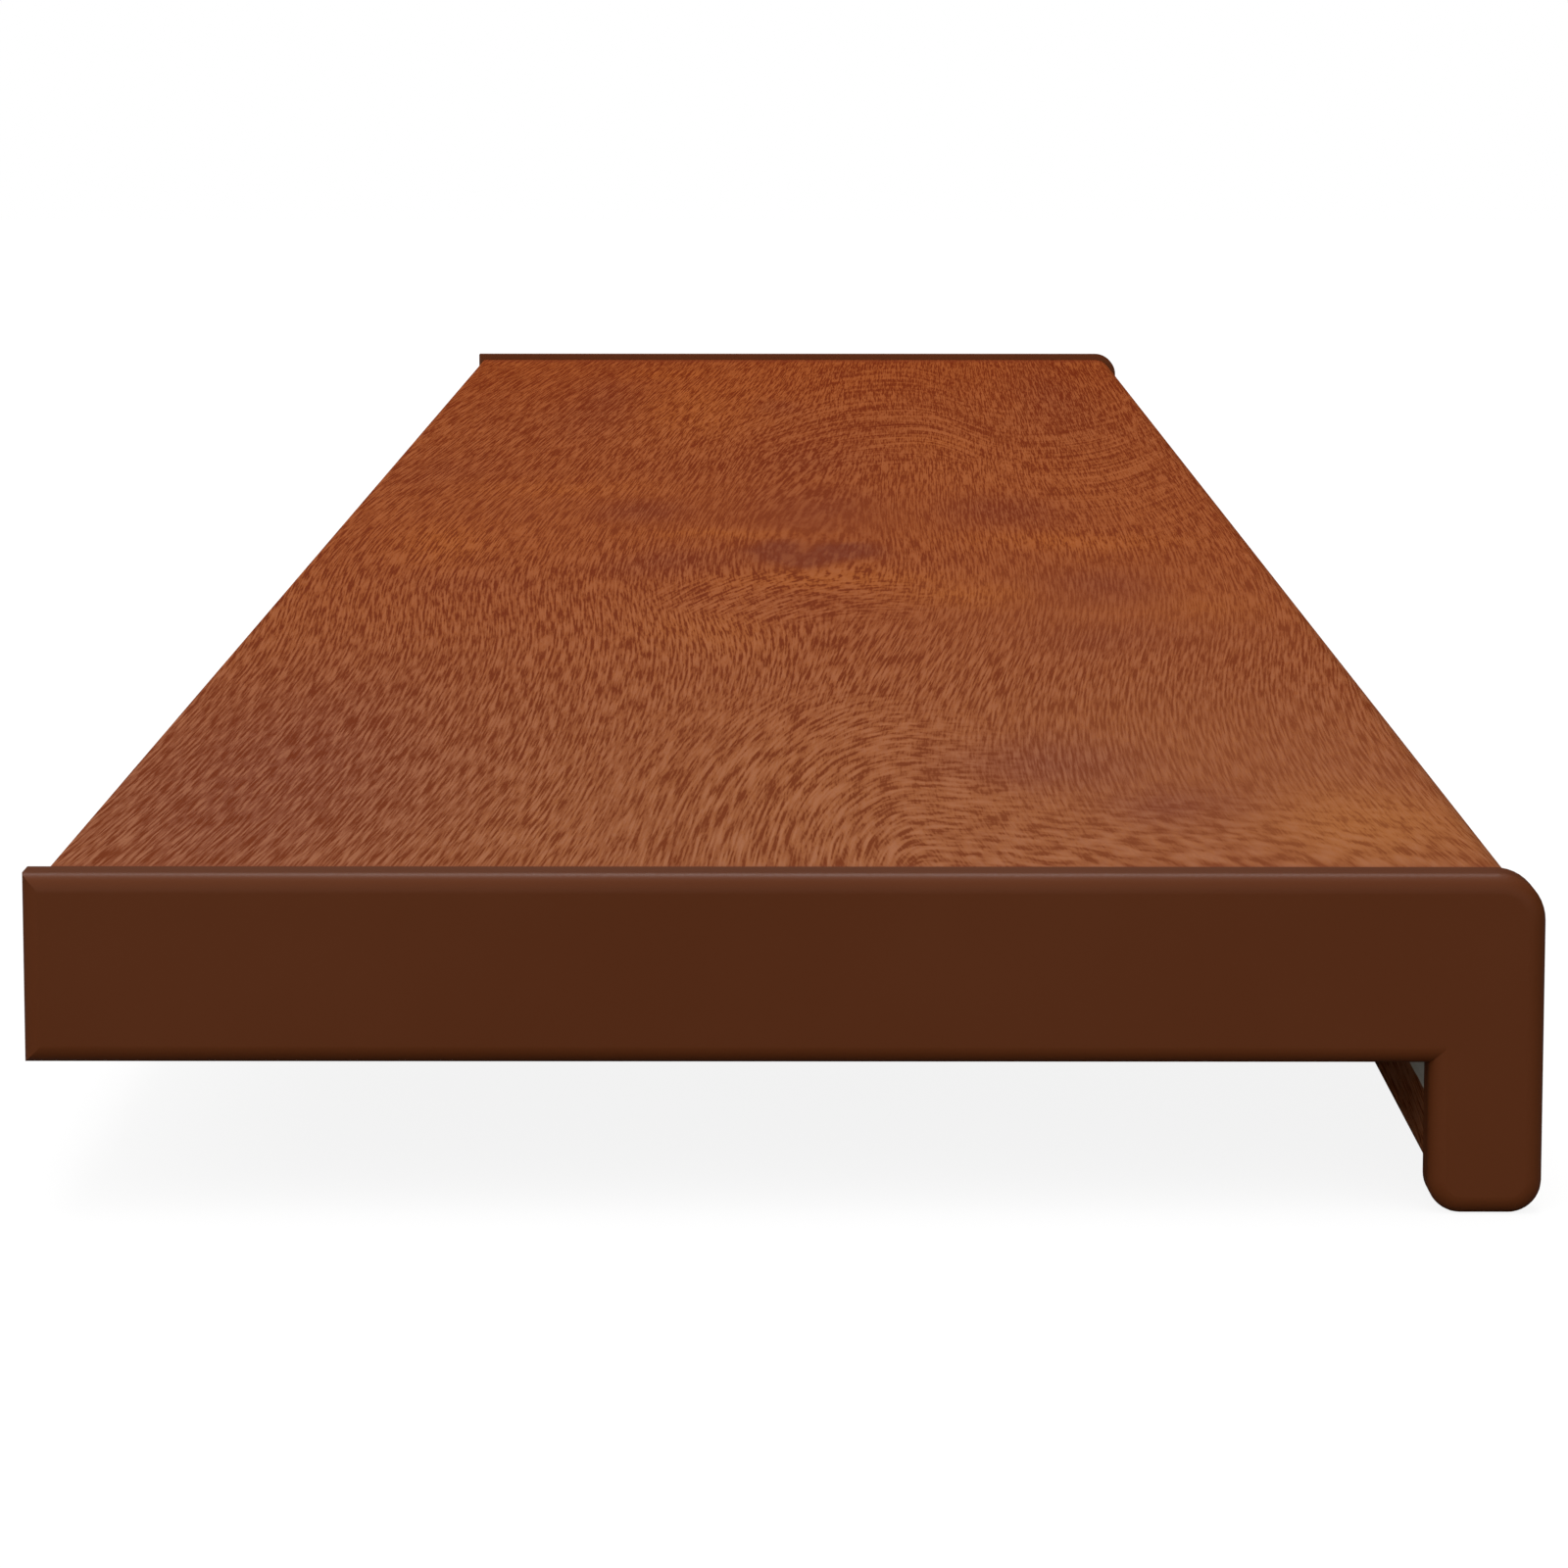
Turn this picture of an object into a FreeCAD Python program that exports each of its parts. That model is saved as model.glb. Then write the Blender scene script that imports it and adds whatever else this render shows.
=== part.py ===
import FreeCAD, Part
import math
import os
import Sketcher

# Window sill board: a hollow extruded board with a drop nose along its front edge, and a moulded
# cap pushed over each end. X runs from the window to the nose, Y along the board, Z up.
# The part's origin lies under the middle of the board, at the height of the lowest point.

SIZES = (
    ("board_length", 996, "extrusion between the two end plates"),
    ("board_depth", 180, "from the back edge to the front of the nose"),
    ("board_thickness", 20, "top to underside"),
    ("nose_height", 38.4, "top of the board to the bottom of the nose"),
    ("nose_width", 10.8, "front to back of the drop nose"),
    ("nose_top_radius", 4.2, "round where the top turns down into the nose"),
    ("nose_bottom_radius", 2.5, "both rounds along the bottom of the nose"),
    ("skin", 2, "outer walls of the extrusion"),
    ("web", 1.3, "upright walls between the chambers"),
    ("chamber_count", 8, "chambers side by side behind the nose"),
    ("chamber_round", 0.8, "rounds in the corners of the chambers"),
    ("groove_width", 3, "keying grooves that the adhesive grips"),
    ("groove_depth", 0.6, "depth of the keying grooves"),
    ("plate_thickness", 2, "end plate of a cap, against the cut end"),
    ("cap_depth", 7, "a cap along the board, plate and lip together"),
    ("lip_wall", 1.45, "wall of the lip that wraps the board"),
    ("lip_clearance", 0.05, "gap between lip and board, all round"),
    ("cap_edge_radius", 2.2, "round along the rim of a cap's outer face"),
    ("peg_count", 4, "pegs of a cap that enter the board's chambers"),
    ("peg_step", 2, "chambers from one peg to the next"),
    ("peg_length", 12, "a peg from the end plate to its tip"),
    ("peg_clearance", 0.2, "gap round the root of a peg in its chamber"),
    ("peg_wall", 1.2, "wall of a hollow peg at its root"),
    ("peg_draft", 1, "degrees that a peg's sides lean in towards the tip"),
)

# Places in the section, measured from the middle of the board's own outline
BACK = "-Sizes.board_depth / 2"
FRONT = "Sizes.board_depth / 2"
TOP = "Sizes.nose_height / 2"
BOTTOM = "-Sizes.nose_height / 2"
UNDERSIDE = "Sizes.nose_height / 2 - Sizes.board_thickness"
NOSE_BACK = "Sizes.board_depth / 2 - Sizes.nose_width"

# The chambers fill the flat part of the board, and the last web carries on down as the nose's back
CHAMBER_WIDTH = (
    "(Sizes.board_depth - Sizes.nose_width - Sizes.skin"
    " - (Sizes.chamber_count - 1) * Sizes.web) / Sizes.chamber_count"
)
CHAMBER_PITCH = f"({CHAMBER_WIDTH} + Sizes.web)"
CHAMBER_LEFT = f"({BACK} + Sizes.skin)"
CHAMBER_LOW = f"({UNDERSIDE} + Sizes.skin)"
CHAMBER_HIGH = f"({TOP} - Sizes.skin)"
CHAMBER = (CHAMBER_LEFT, f"{CHAMBER_LEFT} + {CHAMBER_WIDTH}", CHAMBER_LOW, CHAMBER_HIGH)
NOSE_LEFT = f"({NOSE_BACK} + Sizes.skin)"
NOSE_RIGHT = f"({FRONT} - Sizes.skin)"
NOSE_CHAMBER = (NOSE_LEFT, NOSE_RIGHT, f"{BOTTOM} + Sizes.skin", UNDERSIDE)

SMALL_ROUNDS = ("Sizes.chamber_round",) * 4

# How far a cap stands proud of the board, and the height of the section's middle above the floor
PROUD = "(Sizes.lip_wall + Sizes.lip_clearance)"
RISE = f"Sizes.nose_height / 2 + {PROUD}"
NEAR = 1e-4


def make_sheet(document):
    """The driving sizes, one row each: name, value, what it is."""
    sheet = document.addObject("Spreadsheet::Sheet", "Sizes")
    for row, (alias, value, meaning) in enumerate(SIZES, start=1):
        sheet.set(f"A{row}", alias.replace("_", " "))
        sheet.set(f"B{row}", str(value))
        sheet.setAlias(f"B{row}", alias)
        sheet.set(f"C{row}", meaning)
    document.recompute()
    return sheet


def number(thing, expression):
    """What an expression on the sheet comes to now."""
    return float(thing.evalExpression(expression))


def make_body(document, label):
    body = document.addObject("PartDesign::Body", label)
    body.Label = label
    return body


def section_sketch(body, name, inset="0"):
    """A sketch across the board, inset along the body's own Y from its origin plane."""
    sketch = body.newObject("Sketcher::SketchObject", name)
    plane = next(item for item in body.Origin.OriginFeatures if item.Role == "XZ_Plane")
    sketch.AttachmentSupport = [(plane, "")]
    sketch.MapMode = "FlatFace"
    sketch.setExpression("AttachmentOffset.Base.z", f"-({inset})")
    return sketch


def outline(sketch, corners):
    """A closed outline of upright and level lines, drawn anticlockwise.

    Each corner is (across, up) as expressions, with a third for its radius where it is rounded.
    """
    count = len(corners)
    points = [FreeCAD.Vector(number(sketch, c[0]), number(sketch, c[1]), 0) for c in corners]
    radii = [number(sketch, c[2]) if len(c) > 2 else 0 for c in corners]
    ways = [(points[(i + 1) % count] - points[i]).normalize() for i in range(count)]
    lines = []
    for i in range(count):
        begin = points[i] + ways[i] * radii[i]
        finish = points[(i + 1) % count] - ways[i] * radii[(i + 1) % count]
        lines.append(sketch.addGeometry(Part.LineSegment(begin, finish), False))
    for i, corner in enumerate(corners):
        before = lines[i - 1]
        this = lines[i]
        upright = abs(ways[i].x) < NEAR
        sketch.addConstraint(Sketcher.Constraint("Vertical" if upright else "Horizontal", this))
        kind = "DistanceX" if upright else "DistanceY"
        place = points[i].x if upright else points[i].y
        tie = sketch.addConstraint(Sketcher.Constraint(kind, -1, 1, this, 1, place))
        sketch.setExpression(f"Constraints[{tie}]", corner[0] if upright else corner[1])
        if radii[i]:
            round_corner(sketch, before, this, points[i], ways[i - 1], ways[i], corner[2])
        else:
            sketch.addConstraint(Sketcher.Constraint("Coincident", before, 2, this, 1))


def round_corner(sketch, before, after, corner, way_in, way_out, radius):
    """An arc that leaves one line and joins the next, tangent to both."""
    size = number(sketch, radius)
    centre = corner + (way_out - way_in) * size
    circle = Part.Circle(centre, FreeCAD.Vector(0, 0, 1), size)
    begin = math.atan2(-way_out.y, -way_out.x)
    arc = sketch.addGeometry(Part.ArcOfCircle(circle, begin, begin + math.pi / 2), False)
    sketch.addConstraint(Sketcher.Constraint("Tangent", before, 2, arc, 1))
    sketch.addConstraint(Sketcher.Constraint("Tangent", arc, 2, after, 1))
    tie = sketch.addConstraint(Sketcher.Constraint("Radius", arc, size))
    sketch.setExpression(f"Constraints[{tie}]", radius)


def board_outline(sketch, growth="0"):
    """The board's outline with its rounded drop nose, grown outwards on every side."""
    back = f"{BACK} - ({growth})"
    front = f"{FRONT} + ({growth})"
    top = f"{TOP} + ({growth})"
    bottom = f"{BOTTOM} - ({growth})"
    underside = f"{UNDERSIDE} - ({growth})"
    nose_back = f"{NOSE_BACK} - ({growth})"
    upper_round = f"Sizes.nose_top_radius + ({growth})"
    lower_round = f"Sizes.nose_bottom_radius + ({growth})"
    outline(
        sketch,
        (
            (back, underside),
            (nose_back, underside),
            (nose_back, bottom, lower_round),
            (front, bottom, lower_round),
            (front, top, upper_round),
            (back, top),
        ),
    )


def box_outline(sketch, left, right, low, high, rounds=(), shrink="0"):
    """A box, with rounds for its corners in order: low left, low right, high right, high left."""
    left = f"{left} + ({shrink})"
    right = f"{right} - ({shrink})"
    low = f"{low} + ({shrink})"
    high = f"{high} - ({shrink})"
    corners = [(left, low), (right, low), (right, high), (left, high)]
    for i, radius in enumerate(rounds):
        corners[i] = corners[i] + (radius,)
    outline(sketch, corners)


def add_pad(body, name, sketch, length, inward, draft="0"):
    """A pad along the body's Y: inward is 1 towards +Y and -1 towards -Y."""
    pad = body.newObject("PartDesign::Pad", name)
    pad.Profile = sketch
    pad.setExpression("Length", length)
    pad.setExpression("TaperAngle", f"-({draft})")
    pad.Reversed = inward > 0
    body.Document.recompute()
    return pad


def add_pocket(body, name, sketch, inward, length=None):
    """A pocket along the body's Y, through everything when no length is given."""
    before = body.Shape.Volume
    pocket = body.newObject("PartDesign::Pocket", name)
    pocket.Profile = sketch
    pocket.Reversed = inward < 0
    if length is None:
        pocket.Type = "ThroughAll"
    else:
        pocket.setExpression("Length", length)
    body.Document.recompute()
    if body.Shape.Volume >= before:
        raise RuntimeError(f"{name} removes nothing from {body.Label}")
    return pocket


def add_row(body, name, features, sketch, spacing, count):
    """Repeats features along the sketch's level axis."""
    row = body.newObject("PartDesign::LinearPattern", name)
    row.Originals = features
    row.Direction = (sketch, ["H_Axis"])
    row.Mode = "Spacing"
    row.setExpression("Offset", spacing)
    row.setExpression("Occurrences", count)
    body.Tip = row
    body.Document.recompute()
    return row


def round_rim(body, name, depth, radius):
    """Rounds every edge that lies in the plane at this depth along the body's Y."""
    rim = []
    for index, edge in enumerate(body.Shape.Edges, start=1):
        box = edge.BoundBox
        if abs(box.YMin - depth) < NEAR and abs(box.YMax - depth) < NEAR:
            rim.append(f"Edge{index}")
    base = body.Tip
    fillet = body.newObject("PartDesign::Fillet", name)
    fillet.Base = (base, rim)
    fillet.setExpression("Radius", radius)
    body.Tip = fillet
    body.Document.recompute()
    return fillet


def add_sill_board(document):
    """The extrusion: outline, chambers, and grooves along the underside."""
    body = make_body(document, "sill_board")
    profile = section_sketch(body, "board_profile")
    board_outline(profile)
    add_pad(body, "board", profile, "Sizes.board_length", 1)

    chamber = section_sketch(body, "chamber_profile")
    box_outline(chamber, *CHAMBER, SMALL_ROUNDS)
    first_chamber = add_pocket(body, "chamber", chamber, 1)
    add_row(body, "chambers", [first_chamber], chamber, CHAMBER_PITCH, "Sizes.chamber_count")

    upper = section_sketch(body, "nose_upper_profile")
    front_round = "max(Sizes.nose_top_radius - Sizes.skin; Sizes.chamber_round)"
    upper_rounds = (*SMALL_ROUNDS[:2], front_round, SMALL_ROUNDS[3])
    box_outline(upper, NOSE_LEFT, NOSE_RIGHT, CHAMBER_LOW, CHAMBER_HIGH, upper_rounds)
    add_pocket(body, "nose_upper_chamber", upper, 1)
    lower = section_sketch(body, "nose_lower_profile")
    box_outline(lower, *NOSE_CHAMBER, SMALL_ROUNDS)
    add_pocket(body, "nose_lower_chamber", lower, 1)

    groove = section_sketch(body, "groove_profile")
    first_web = f"({CHAMBER_LEFT} + {CHAMBER_WIDTH} + Sizes.web / 2)"
    half = "Sizes.groove_width / 2"
    roof = f"{UNDERSIDE} + Sizes.groove_depth"
    box_outline(groove, f"{first_web} - {half}", f"{first_web} + {half}", UNDERSIDE, roof)
    first_groove = add_pocket(body, "groove", groove, 1)
    webs = "Sizes.chamber_count - 1"
    add_row(body, "grooves", [first_groove], groove, CHAMBER_PITCH, webs)

    body.setExpression("Placement.Base.y", "-Sizes.board_length / 2")
    body.setExpression("Placement.Base.z", RISE)
    return body


def add_peg(body, name, chamber, inward, plate_back):
    """A hollow peg that stands on a cap's end plate and fills a chamber but for its clearance."""
    outside = section_sketch(body, f"{name}_profile", plate_back)
    box_outline(outside, *chamber, SMALL_ROUNDS, "Sizes.peg_clearance")
    peg = add_pad(body, name, outside, "Sizes.peg_length", inward, "Sizes.peg_draft")
    inside = section_sketch(body, f"{name}_hollow_profile", plate_back)
    box_outline(inside, *chamber, (), "Sizes.peg_clearance + Sizes.peg_wall")
    hollow = add_pocket(body, f"{name}_hollow", inside, inward, "Sizes.peg_length")
    return [peg, hollow]


def add_end_cap(document, label, inward):
    """A moulded cap: end plate, lip round the board, and hollow pegs for the chambers.

    Inward is 1 for the cap whose board lies towards +Y, and -1 for the other.
    """
    body = make_body(document, label)
    block = section_sketch(body, f"{label}_outline")
    board_outline(block, PROUD)
    add_pad(body, f"{label}_block", block, "Sizes.cap_depth", inward)
    round_rim(body, f"{label}_rim", 0, "Sizes.cap_edge_radius")

    plate_back = f"{inward} * Sizes.plate_thickness"
    recess = section_sketch(body, f"{label}_recess_profile", plate_back)
    board_outline(recess, "Sizes.lip_clearance")
    add_pocket(body, f"{label}_recess", recess, inward)

    row = add_peg(body, f"{label}_peg", CHAMBER, inward, plate_back)
    spacing = f"{CHAMBER_PITCH} * Sizes.peg_step"
    add_row(body, f"{label}_pegs", row, row[0].Profile[0], spacing, "Sizes.peg_count")
    add_peg(body, f"{label}_nose_peg", NOSE_CHAMBER, inward, plate_back)

    face = "(Sizes.board_length / 2 + Sizes.plate_thickness)"
    body.setExpression("Placement.Base.y", f"{-inward} * {face}")
    body.setExpression("Placement.Base.z", RISE)
    return body


def check(document, bodies):
    for item in document.Objects:
        if "Invalid" in item.State or "Error" in item.State:
            raise RuntimeError(f"{item.Label} did not build: {item.State}")
    for body in bodies:
        if body.Shape.isNull() or not body.Shape.isValid() or len(body.Shape.Solids) != 1:
            raise RuntimeError(f"{body.Label} is not one valid solid")


def main():
    document = FreeCAD.newDocument("window_sill_board")
    make_sheet(document)
    bodies = [
        add_sill_board(document),
        add_end_cap(document, "end_cap_left", 1),
        add_end_cap(document, "end_cap_right", -1),
    ]
    document.recompute()
    check(document, bodies)
    os.makedirs("parts", exist_ok=True)
    for body in bodies:
        body.Shape.exportStep(f"parts/{body.Label}.step")
        print(body.Label, "volume in cubic mm:", round(body.Shape.Volume))


main()
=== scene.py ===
import math

import bpy
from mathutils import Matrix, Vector


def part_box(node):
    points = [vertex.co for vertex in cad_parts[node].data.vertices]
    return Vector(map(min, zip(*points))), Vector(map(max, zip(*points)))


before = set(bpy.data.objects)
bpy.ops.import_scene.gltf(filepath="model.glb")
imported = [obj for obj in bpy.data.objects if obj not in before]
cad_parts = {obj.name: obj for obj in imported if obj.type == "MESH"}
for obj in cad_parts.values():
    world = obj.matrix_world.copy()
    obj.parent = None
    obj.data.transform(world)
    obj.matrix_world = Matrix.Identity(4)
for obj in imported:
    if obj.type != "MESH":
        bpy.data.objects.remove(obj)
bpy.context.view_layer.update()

bl_info = {
    "name": "Window Sill Board",
    "version": (1, 0, 0),
    "blender": (4, 5, 0),
    "location": "View3D > Sidebar > Sill Board",
    "description": "Finishes of a hollow window sill board with a wood decor film and moulded end caps",
    "category": "Object",
}

MM = 0.001
BOARD = "sill_board"
CAPS = ("end_cap_left", "end_cap_right")
BOARD_LOW, BOARD_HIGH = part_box(BOARD)
BOARD_SIZE = BOARD_HIGH - BOARD_LOW

# The figure of the wood is laid out in shares of the board: across it from the window side, and
# along it from the near end. The strokes lean from the board's length. The lean is the shift across
# that they have gathered at each place along, on the window side and on the nose side.
LEAN_BACK = ((0, 0), (0.22, 0.035), (0.4, 0), (0.65, 0.045), (1, 0.145))
LEAN_FRONT = ((0, 0.03), (0.1, 0), (0.35, 0.085), (0.6, 0.105), (1, 0.135))
# The share of all strokes that lie before a place along: they grow longer towards the far end
STROKE_SHARE = ((0, 0), (0.25, 0.38), (0.6, 0.73), (1, 1))
# How far a growth ring's arch has fallen from its crest at each place across
ARCH = ((0, -0.9), (0.2, -0.45), (0.4, -0.15), (0.65, 0), (0.8, -0.09), (1, -0.5))
ARCH_SPREAD = 0.42
RING_CENTRE = 0.60
RING_BACK = 1.3
RING_FRONT = 0.2

# Tone patches of the figure: place across and along, half size across and along, strength
KNOTS = (
    (0.480, 0.418, 0.060, 0.032, 0.9),
    (0.555, 0.415, 0.060, 0.030, 0.9),
    (0.520, 0.405, 0.080, 0.025, 0.8),
)
ARCHES = (
    (0.600, 0.735, 0.33, 0.16, 1.0),
    (0.640, 0.900, 0.28, 0.18, 0.6),
    (0.900, 0.640, 0.22, 0.34, 0.6),
)
RINGS = (
    (0.520, 0.080, 0.22, 0.16, 0.9),
    (0.800, 0.020, 0.30, 0.10, 0.7),
    (0.500, 0.335, 0.18, 0.06, 0.9),
)
QUIET = (
    (0.850, 0.100, 0.35, 0.18, 0.8),
    (0.820, 0.330, 0.36, 0.16, 0.7),
    (0.530, 0.490, 0.20, 0.08, 1.0),
    (0.500, 0.500, 0.70, 0.16, 0.5),
    (0.515, 0.418, 0.13, 0.05, 1.0),
)
SHADOWS = (
    (0.335, 0.505, 0.09, 0.04, 1.0),
    (0.530, 0.510, 0.16, 0.10, 0.7),
    (0.530, 0.630, 0.15, 0.08, 0.5),
    (0.740, 0.505, 0.13, 0.07, 0.9),
    (0.800, 0.355, 0.11, 0.06, 0.8),
    (0.370, 0.395, 0.14, 0.045, 0.8),
    (0.800, 0.270, 0.12, 0.05, 0.5),
    (0.070, 0.600, 0.14, 0.10, 0.5),
    (0.220, 0.840, 0.11, 0.22, 0.7),
    (0.870, 0.860, 0.09, 0.25, 0.7),
    (0.475, 0.800, 0.05, 0.05, 0.7),
    (0.560, 0.930, 0.06, 0.03, 0.5),
    (0.700, 0.115, 0.14, 0.05, 0.8),
    (0.785, 0.070, 0.09, 0.04, 0.7),
    (0.100, 0.100, 0.24, 0.22, 0.9),
    (0.180, 0.360, 0.14, 0.05, 0.4),
)
GLOWS = (
    (0.290, 0.930, 0.14, 0.05, 0.8),
    (0.360, 0.800, 0.16, 0.20, 0.7),
    (0.220, 0.560, 0.24, 0.04, 0.6),
    (0.120, 0.440, 0.10, 0.07, 0.7),
    (0.800, 0.440, 0.22, 0.035, 0.7),
    (0.430, 0.455, 0.16, 0.02, 0.7),
    (0.550, 0.365, 0.22, 0.035, 0.8),
    (0.670, 0.340, 0.16, 0.035, 0.7),
    (0.500, 0.100, 0.26, 0.14, 0.3),
    (0.920, 0.050, 0.14, 0.06, 0.9),
    (0.420, 0.280, 0.12, 0.05, 0.5),
    (0.900, 0.320, 0.12, 0.04, 0.5),
    (0.680, 0.690, 0.10, 0.05, 0.5),
)


class Term:
    """A number that varies over a surface. Python's operators on it add Math nodes."""

    def __init__(self, finish, socket):
        self.finish = finish
        self.socket = socket

    def math(self, operation, *values):
        return self.finish.add("ShaderNodeMath", {"operation": operation}, dict(enumerate(values)))

    def __add__(self, other):
        return self.math("ADD", self, other)

    __radd__ = __add__

    def __sub__(self, other):
        return self.math("SUBTRACT", self, other)

    def __rsub__(self, other):
        return self.math("SUBTRACT", other, self)

    def __mul__(self, other):
        return self.math("MULTIPLY", self, other)

    __rmul__ = __mul__

    def __truediv__(self, other):
        return self.math("DIVIDE", self, other)

    def root(self):
        return self.math("SQRT", self)

    def bell(self):
        """1 at zero, falling away smoothly on both sides."""
        return self.math("EXPONENT", self * self * -1)

    def wave(self):
        """Swings from 0 to 1 and back once for each whole number."""
        return self.math("SINE", self * (2 * math.pi)) * 0.5 + 0.5

    def size(self):
        return self.math("ABSOLUTE", self)

    def top(self, other):
        return self.math("MAXIMUM", self, other)

    def step(self, low, high):
        """A smooth step from 0, at or under low, to 1, at or over high."""
        settings = {"interpolation_type": "SMOOTHSTEP"}
        return self.finish.add("ShaderNodeMapRange", settings, {0: self, 1: low, 2: high})

    def follow(self, points):
        """The smooth curve through points, each a value of the term and the result there."""
        return self.finish.add("ShaderNodeFloatCurve", {"points": points}, {"Value": self})


class Sheet:
    """The nodes of a material or of the world."""

    def __init__(self, owner):
        owner.use_nodes = True
        self.owner = owner
        self.tree = owner.node_tree

    def add(self, kind, settings, inputs, output=0):
        """Adds a node: its settings first, then the values or links of its sockets."""
        node = self.tree.nodes.new(kind)
        for name, value in settings.items():
            if name == "points":
                self.bend(node.mapping, value)
            else:
                setattr(node, name, value)
        for name, value in inputs.items():
            self.feed(node.inputs[name], value)
        return Term(self, node.outputs[output])

    def bend(self, mapping, points):
        line = mapping.curves[0].points
        for i, place in enumerate(points):
            if i < 2:
                line[i].location = place
            else:
                line.new(*place)
        mapping.update()

    def feed(self, socket, value):
        if isinstance(value, Term):
            self.tree.links.new(value.socket, socket)
        elif socket.type == "RGBA":
            socket.default_value = (*value[:3], 1)
        else:
            socket.default_value = value

    def split(self, vector):
        node = self.tree.nodes.new("ShaderNodeSeparateXYZ")
        self.feed(node.inputs[0], vector)
        return [Term(self, output) for output in node.outputs]

    def join(self, x, y, z=0.0):
        return self.add("ShaderNodeCombineXYZ", {}, {"X": x, "Y": y, "Z": z})

    def noise(self, vector, scale, detail=2.0, roughness=0.5, output=0):
        inputs = {"Vector": vector, "Scale": scale, "Detail": detail, "Roughness": roughness}
        return self.add("ShaderNodeTexNoise", {}, inputs, output)

    def mix(self, factor, first, second, blend="MIX"):
        """The first colour where the factor is 0, and the second where it is 1."""
        settings = {"data_type": "RGBA", "blend_type": blend}
        return self.add("ShaderNodeMix", settings, {0: factor, 6: first, 7: second}, 2)

    def bump(self, height, strength, distance):
        inputs = {"Height": height, "Strength": strength, "Distance": distance}
        return self.add("ShaderNodeBump", {}, inputs)

    def set(self, node, sockets):
        for name, value in sockets.items():
            self.feed(self.tree.nodes[node].inputs[name], value)


class Finish(Sheet):
    """A material on a piece, with the piece's own coordinates."""

    def __init__(self, name):
        super().__init__(bpy.data.materials.new(name))
        self.place = self.add("ShaderNodeTexCoord", {}, {}, "Object")
        self.x, self.y, self.z = self.split(self.place)


def colour(name, description, default):
    return bpy.props.FloatVectorProperty(
        name=name, description=description, default=default, subtype="COLOR", min=0, max=1,
    )


def length(name, description, default):
    return bpy.props.FloatProperty(
        name=name, description=description, default=default, unit="LENGTH", precision=5, min=0,
    )


def share(name, description, default):
    return bpy.props.FloatProperty(
        name=name, description=description, default=default, subtype="FACTOR", min=0, max=1,
    )


class SillFilm(bpy.types.PropertyGroup):
    """Wood decor film and the bare plastic that it leaves free."""

    light: colour("Light wood", "Where the figure is light", (0.288, 0.097, 0.0345))
    glow: colour("Glow", "The warm patches of the figure", (0.340, 0.120, 0.0330))
    middle: colour("Middle wood", "The film's usual tone", (0.240, 0.073, 0.0262))
    # Also the colour of the painted shade beside the end caps
    dark: colour("Dark wood", "The shadows of the figure", (0.176, 0.048, 0.0270))
    sheen: colour("Light strokes", "The wood between the pores", (0.410, 0.178, 0.0950))
    pore: colour("Pore", "The short dark strokes", (0.130, 0.0200, 0.0))
    knot: colour("Knot", "The knot in the figure", (0.156, 0.043, 0.0290))
    # Painted reflection: the figure is greyer at the near end, where the film's sheen is painted into its colour,
    # and this tint turns it redder towards the far end
    painted_sheen_fade: colour("Far tint", "Turns the figure redder away from the near end", (0.93, 0.60, 0.30))
    bare: colour("Bare plastic", "The board where no film covers it", (0.70, 0.67, 0.60))
    bare_shade: colour("Bare plastic in streaks", "Faint streaks and clouds in the bare plastic", (0.63, 0.60, 0.52))
    edge_height: length("Film edge", "From the bottom of the nose to the film's edge behind it", 0.010)
    top_wrap: length("Film wrap", "How far the film wraps down over the back edge", 0.002)
    stroke_gap: length("Stroke gap", "From one stroke to the next, about half of it", 0.00040)
    stroke_length: length("Stroke length", "How long the strokes are on average", 0.027)
    speck_width: length("Speck width", "How wide the fine specks are", 0.00028)
    speck_length: length("Speck length", "How long the fine specks are on average", 0.0072)
    arch_gap: length("Arch gap", "From one arch to the next, about a sixth of it", 0.0022)
    ring_gap: length("Ring gap", "From one near growth ring to the next, about half of it", 0.0034)
    # Where the painted shade beside each end cap is full
    lip: length("Cap edge", "From the middle of the board to the edge of a cap", 0.486)
    pore_depth: length("Pore depth", "How deep the pores are embossed", 0.00006)
    roughness: share("Roughness", "Of the film", 0.36)
    shine: share("Shine", "Specular level of the film", 0.028)


class SillCap(bpy.types.PropertyGroup):
    """Moulded plastic of the end caps."""

    plastic: colour("Plastic", "The plastic's usual tone", (0.0895, 0.0230, 0.0062))
    worn: colour("Lighter plastic", "Faint lighter clouds in the plastic", (0.0940, 0.0250, 0.0072))
    grain: length("Grain", "Size of the fine moulded texture", 0.0006)
    grain_depth: length("Grain depth", "Depth of the fine moulded texture", 0.000012)
    roughness: share("Roughness", "Of the plastic", 0.42)
    shine: share("Shine", "Specular level of the plastic", 0.06)


class SillStage(bpy.types.PropertyGroup):
    """Camera, lamps and floor."""

    eye: bpy.props.FloatVectorProperty(
        name="Eye", description="Where the camera stands",
        default=(0.0027, -1.19303, 0.14714), subtype="TRANSLATION", unit="LENGTH",
    )
    pitch: bpy.props.FloatProperty(
        name="Pitch", description="How far the camera looks down",
        default=math.radians(7.781), subtype="ANGLE", unit="ROTATION",
    )
    yaw: bpy.props.FloatProperty(
        name="Yaw", description="How far the camera looks to the window side",
        default=math.radians(0.221), subtype="ANGLE", unit="ROTATION",
    )
    lens: bpy.props.FloatProperty(
        name="Lens", description="Focal length in millimetres", default=134.47, min=1,
    )


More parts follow.
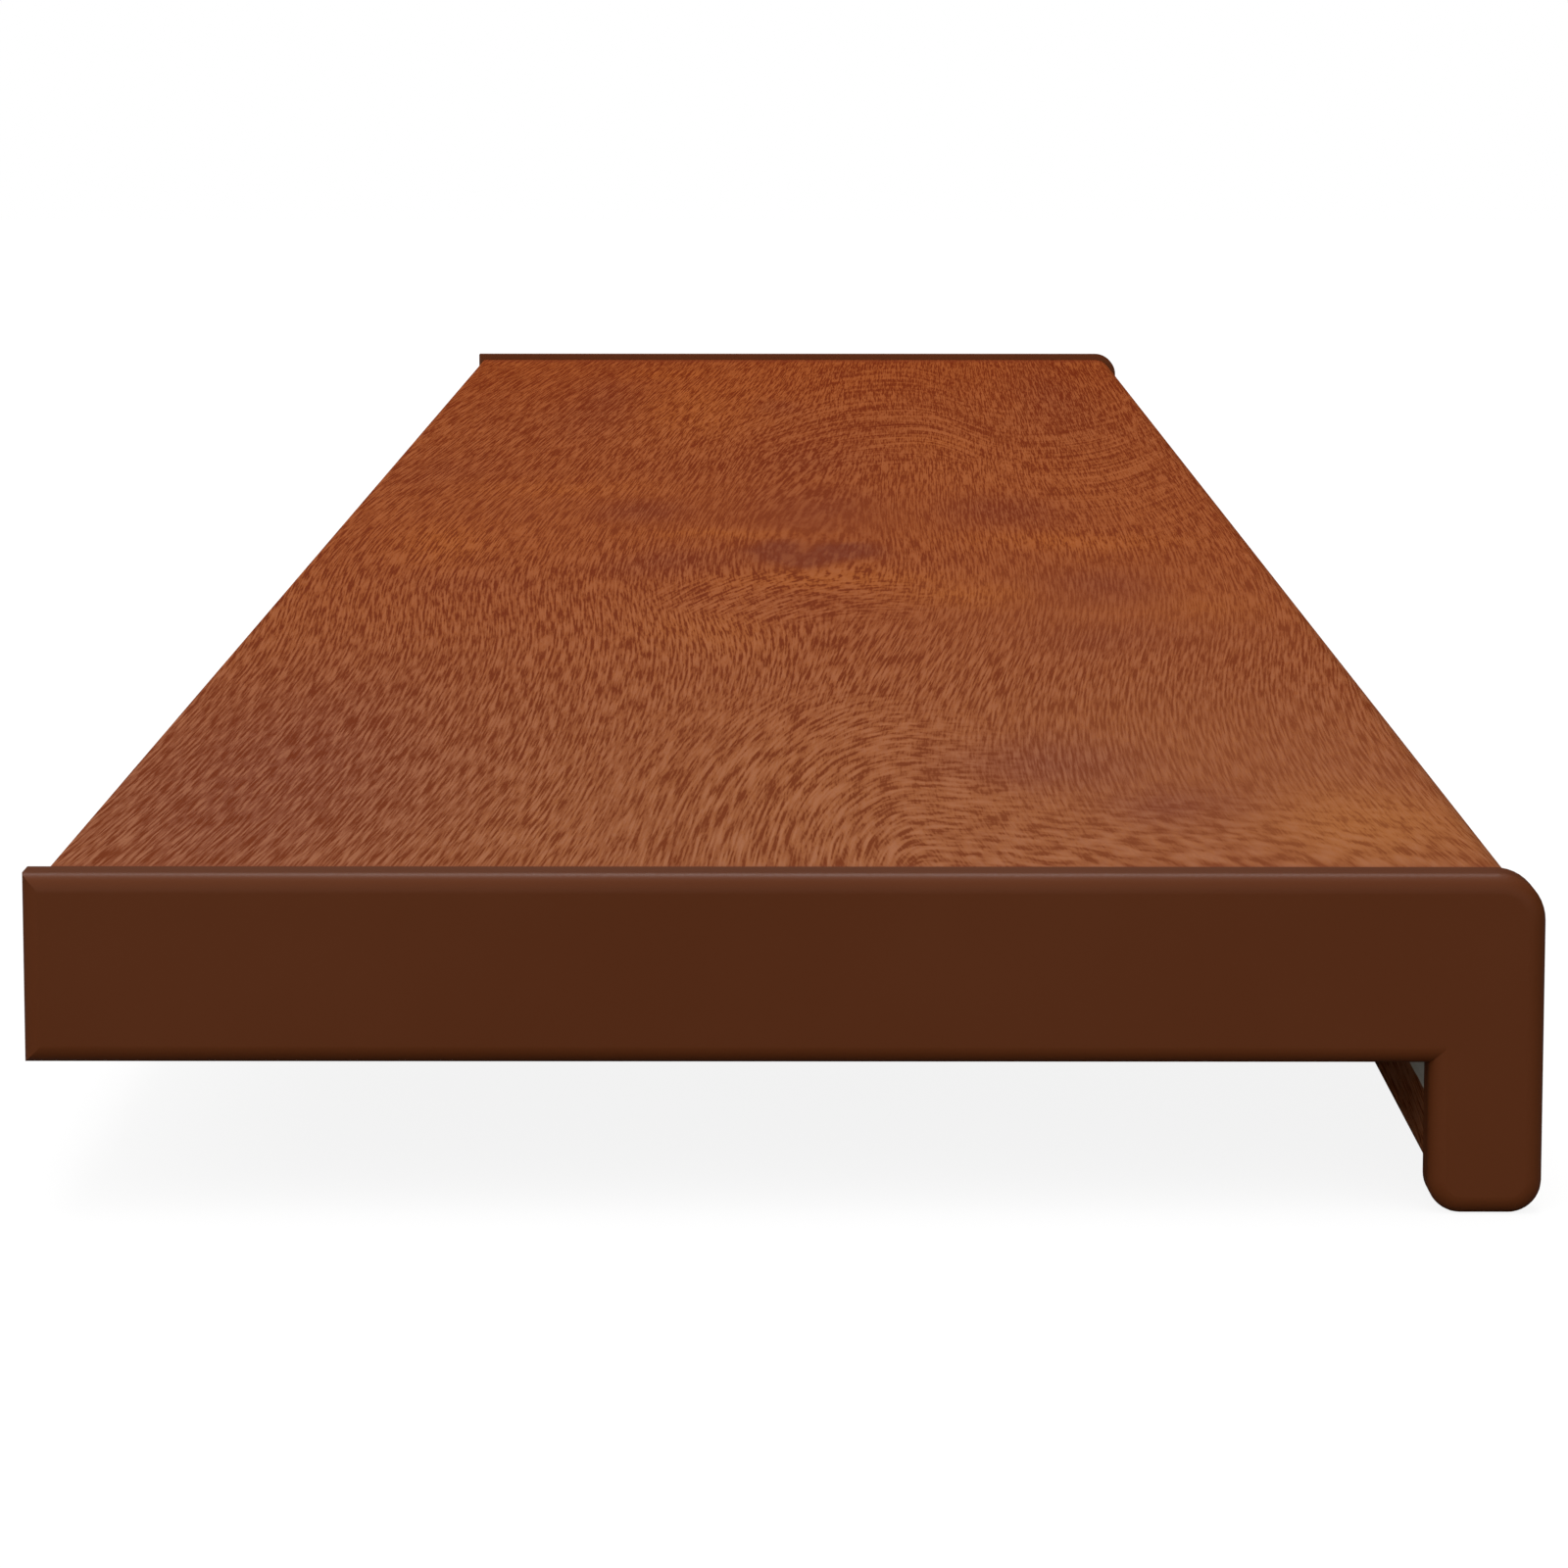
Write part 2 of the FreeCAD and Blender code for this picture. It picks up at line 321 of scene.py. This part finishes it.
class Figure:
    """The wood's figure, drawn on the board's top and carried on down the nose."""

    def __init__(self, finish):
        self.finish = finish
        drop = BOARD_HIGH.z - finish.z
        self.across = (finish.x - BOARD_LOW.x + drop) / BOARD_SIZE.x
        self.along = (finish.y - BOARD_LOW.y) / BOARD_SIZE.y
        self.flat = finish.join(self.across, self.along)
        sway = finish.split(finish.noise(self.flat, 3.2, 1.0, 0.4, "Color"))
        u = self.across + (sway[0] - 0.5) * 0.03
        v = self.along + (sway[1] - 0.5) * 0.02
        self.place = u, v
        back = v.follow(LEAN_BACK)
        front = v.follow(LEAN_FRONT)
        self.grain = u - back - (front - back) * u.step(0.42, 0.62)
        self.share = self.along.follow(STROKE_SHARE)
        drift = finish.split(finish.noise(self.flat, 9.0, 3.0, 0.6, "Color"))
        self.ragged = finish.join(
            self.across + (drift[0] - 0.5) * 0.07, self.along + (drift[1] - 0.5) * 0.04,
        )

    def patches(self, places):
        """The strongest of several round tone patches, with ragged edges."""
        total = None
        for across, along, half_across, half_along, strength in places:
            inputs = {
                "Vector": self.ragged, "Location": (across, along, 0),
                "Scale": (half_across, half_along, 1),
            }
            place = self.finish.add("ShaderNodeMapping", {"vector_type": "TEXTURE"}, inputs)
            spot = self.finish.add("ShaderNodeTexGradient", {"gradient_type": "SPHERICAL"}, {0: place}, 1)
            spot = spot * strength
            total = spot if total is None else total.top(spot)
        return total

    def strokes(self, width, length, layer):
        """Marks that follow the grain, as a value around a half."""
        place = self.finish.join(
            self.grain * (BOARD_SIZE.x / width), self.share * (BOARD_SIZE.y / length), layer,
        )
        return self.finish.noise(place, 1.0, 1.0)

    def arches(self, gap):
        """Lines of the growth rings that arch over the board's far half."""
        u, v = self.place
        height = v - u.follow(ARCH)
        spread = (1 - height * ARCH_SPREAD) * height
        return self.finish.noise(self.finish.join(spread * (BOARD_SIZE.y / gap), u * 9, v * 6), 1.0, 1.0)

    def rings(self, gap):
        """Lines of the growth rings round a place at the near end."""
        u, v = self.place
        side = u - RING_CENTRE
        side = side.top(0) * RING_FRONT + (side * -1).top(0) * RING_BACK
        height = (side * side + v * v).root()
        return self.finish.noise(self.finish.join(height * (BOARD_SIZE.y / gap), u * 60, v * 45), 1.0, 1.0)


def film_mask(finish, film):
    """1 on the wood film: the top, the nose's front and bottom, and the foot of its back."""
    ragged = (finish.noise(finish.place, 60.0) - 0.5) * (1.0 * MM)
    top = (finish.z + ragged).step(BOARD_HIGH.z - film.top_wrap - 0.2 * MM, BOARD_HIGH.z - film.top_wrap)
    foot = BOARD_LOW.z + film.edge_height
    low = 1 - (finish.z + ragged).step(foot, foot + 0.2 * MM)
    front = finish.x.step(BOARD_HIGH.x - 5.0 * MM, BOARD_HIGH.x - 4.8 * MM)
    return top.top(low).top(front)


def board_finish(film):
    finish = Finish("decor_film")
    figure = Figure(finish)
    strokes = figure.strokes(film.stroke_gap, film.stroke_length, 0.0)
    speck = figure.strokes(film.speck_width, film.speck_length, 7.3) - 0.5
    broad = finish.noise(figure.flat, 2.6, 3.0, 0.55)
    cloud = finish.noise(figure.flat, 14.0, 3.0, 0.6)
    quiet = figure.patches(QUIET).step(0.0, 0.8)
    arch_zone = figure.patches(ARCHES).step(0.0, 0.8) * 0.7
    ring_zone = figure.patches(RINGS).step(0.05, 0.5) * 0.85
    grain = strokes + (figure.arches(film.arch_gap) - strokes) * arch_zone
    grain = grain + (figure.rings(film.ring_gap) - grain) * ring_zone
    grain = grain + speck * (figure.along * 0.6 + 0.35)
    faint = 1 - quiet * 0.5
    pores = grain.step(0.470 - figure.along * 0.03, 0.665 - figure.along * 0.03) * faint
    sheen = (1 - grain.step(0.32, 0.50)) * faint
    knot = figure.patches(KNOTS).step(0.05, 0.6)
    shadow = figure.patches(SHADOWS).step(0.0, 0.9)
    glow = figure.patches(GLOWS).step(0.0, 0.9)
    # Painted reflection: how far the painted grey sheen of the near end has faded, rising from the near end to the
    # far end
    redder = figure.along.step(-0.1, 0.5) * 0.8 + figure.along.step(0.7, 1.0) * 0.2

    wood = finish.mix((broad + speck * 1.2).step(0.3, 0.7), film.middle, film.light)
    wood = finish.mix(glow * 0.75, wood, film.glow)
    wood = finish.mix(shadow * 0.7, wood, film.dark)
    wood = finish.mix(knot * (cloud * 0.8 + 0.4), wood, film.knot)
    wood = finish.mix(sheen * 0.4, wood, film.sheen)
    wood = finish.mix(pores * 0.9, wood, film.pore)
    # Painted shade: the film turns to the dark wood colour over the last 6 mm before the cap edge distance, a
    # painted contact shadow beside each end cap
    wood = finish.mix(finish.y.size().step(film.lip - 6.0 * MM, film.lip) * 0.6, wood, film.dark)
    wood = finish.mix(redder, wood, finish.mix(1.0, wood, film.painted_sheen_fade, "MULTIPLY"))

    drawn = finish.join(finish.x * 900.0, finish.y * 3.0, finish.z * 900.0)
    lines = finish.noise(drawn, 1.0, 2.0)
    bare = finish.mix((lines * 0.6 + cloud * 0.4).step(0.35, 0.65), film.bare, film.bare_shade)
    covered = film_mask(finish, film)
    relief = covered * (0.4 - pores * 0.5) + lines * (1 - covered) * 0.15
    finish.set("Principled BSDF", {
        "Specular IOR Level": film.shine,
        "Base Color": finish.mix(covered, bare, wood),
        "Roughness": film.roughness + pores * 0.12 * covered + (cloud - 0.5) * 0.08,
        "Normal": finish.bump(relief, 1.0, film.pore_depth),
    })
    return finish.owner


def cap_finish(cap):
    finish = Finish("cap_plastic")
    clouds = finish.noise(finish.place, 25.0, 3.0, 0.6)
    grain = finish.noise(finish.place, 1 / cap.grain, 2.0, 0.6)
    finish.set("Principled BSDF", {
        "Specular IOR Level": cap.shine,
        "Base Color": finish.mix(clouds.step(0.3, 0.7), cap.plastic, cap.worn),
        "Roughness": cap.roughness + (grain - 0.5) * 0.10 + (clouds - 0.5) * 0.06,
        "Normal": finish.bump(grain, 1.0, cap.grain_depth),
    })
    return finish.owner


def dress(node, material):
    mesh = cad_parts[node].data
    mesh.materials.clear()
    mesh.materials.append(material)


def lamp(name, place, target, size, power):
    """A soft square lamp that faces its target."""
    data = bpy.data.lights.new(name, "AREA")
    data.shape = "SQUARE"
    data.size = size
    data.energy = power
    item = bpy.data.objects.new(name, data)
    item.location = place
    item.rotation_euler = (Vector(target) - Vector(place)).to_track_quat("-Z", "Y").to_euler()
    bpy.context.scene.collection.objects.link(item)
    return item


def add_camera(context, stage):
    data = bpy.data.cameras.new("camera")
    data.lens = stage.lens
    data.sensor_width = 36
    data.clip_start = 0.01
    camera = bpy.data.objects.new("camera", data)
    camera.location = stage.eye
    camera.rotation_euler = (math.pi / 2 - stage.pitch, 0, stage.yaw)
    context.scene.collection.objects.link(camera)
    context.scene.camera = camera


def add_floor(context):
    """A wide pale floor that shows white, with the board's soft shadow on it."""
    half = 2.5
    mesh = bpy.data.meshes.new("floor")
    corners = [(-half, -half, 0), (half, -half, 0), (half, half, 0), (-half, half, 0)]
    mesh.from_pydata(corners, [], [(0, 1, 2, 3)])
    floor = bpy.data.objects.new("floor", mesh)
    context.scene.collection.objects.link(floor)
    sheet = Sheet(bpy.data.materials.new("floor"))
    seen = sheet.add("ShaderNodeLightPath", {}, {}, "Is Camera Ray")
    matt = sheet.add("ShaderNodeBsdfDiffuse", {}, {"Color": (0.12, 0.12, 0.12)})
    pale = sheet.add("ShaderNodeBsdfDiffuse", {}, {"Color": (0.14, 0.14, 0.14)})
    glow = sheet.add("ShaderNodeEmission", {}, {"Strength": 0.88})
    white = sheet.add("ShaderNodeAddShader", {}, {0: pale, 1: glow})
    sheet.set("Material Output", {"Surface": sheet.add("ShaderNodeMixShader", {}, {0: seen, 1: matt, 2: white})})
    mesh.materials.append(sheet.owner)


def add_world(context):
    """White to the camera. For the light, a soft sky that is brightest in front of the board."""
    sheet = Sheet(bpy.data.worlds.new("studio"))
    seen = sheet.add("ShaderNodeLightPath", {}, {}, "Is Camera Ray")
    x, y, z = sheet.split(sheet.add("ShaderNodeTexCoord", {}, {}, "Generated"))
    sky = (z - 0.3).top(0) * 0.5 + (0.28 - y - x * 0.32).top(0) * 1.55 + 0.01
    sheet.set("Background", {"Strength": seen + sky * (1 - seen), "Color": (1, 1, 1)})
    context.scene.world = sheet.owner


class SILL_OT_board(bpy.types.Operator):
    """Puts the wood film and the bare plastic on the board"""

    bl_idname = "sill.board"
    bl_label = "Board"

    def execute(self, context):
        dress(BOARD, board_finish(context.scene.sill_film))
        return {"FINISHED"}


class SILL_OT_caps(bpy.types.Operator):
    """Puts the moulded plastic on both end caps"""

    bl_idname = "sill.caps"
    bl_label = "End caps"

    def execute(self, context):
        material = cap_finish(context.scene.sill_cap)
        for name in CAPS:
            dress(name, material)
        return {"FINISHED"}


class SILL_OT_stage(bpy.types.Operator):
    """Sets up the camera, the lamps, the floor and the white surroundings"""

    bl_idname = "sill.stage"
    bl_label = "Stage"

    def execute(self, context):
        stage = context.scene.sill_stage
        add_camera(context, stage)
        add_world(context)
        add_floor(context)
        lamp("back_lamp", (-0.1, 1.3, 2.4), (0, -0.3, 0), 1.2, 34)
        lamp("top_lamp", (0.2, -0.2, 2.6), (0, 0, 0), 1.6, 16)
        context.scene.view_settings.view_transform = "Standard"
        return {"FINISHED"}


class SILL_PT_panel(bpy.types.Panel):
    """Lists the steps and their settings"""

    bl_idname = "SILL_PT_panel"
    bl_label = "Window sill board"
    bl_space_type = "VIEW_3D"
    bl_region_type = "UI"
    bl_category = "Sill Board"

    def draw(self, context):
        for step, settings in STEPS:
            box = self.layout.box()
            box.operator(step.bl_idname)
            group = getattr(context.scene, settings)
            for name in group.__annotations__:
                box.prop(group, name)


STEPS = ((SILL_OT_board, "sill_film"), (SILL_OT_caps, "sill_cap"), (SILL_OT_stage, "sill_stage"))
SETTINGS = {"sill_film": SillFilm, "sill_cap": SillCap, "sill_stage": SillStage}
CLASSES = (*SETTINGS.values(), *(step for step, settings in STEPS), SILL_PT_panel)


def register():
    for kind in CLASSES:
        bpy.utils.register_class(kind)
    for name, kind in SETTINGS.items():
        setattr(bpy.types.Scene, name, bpy.props.PointerProperty(type=kind))


def unregister():
    for name in SETTINGS:
        delattr(bpy.types.Scene, name)
    for kind in reversed(CLASSES):
        bpy.utils.unregister_class(kind)


def main():
    register()
    bpy.ops.sill.stage()
    bpy.ops.sill.board()
    bpy.ops.sill.caps()


if __name__ == "__main__":
    main()
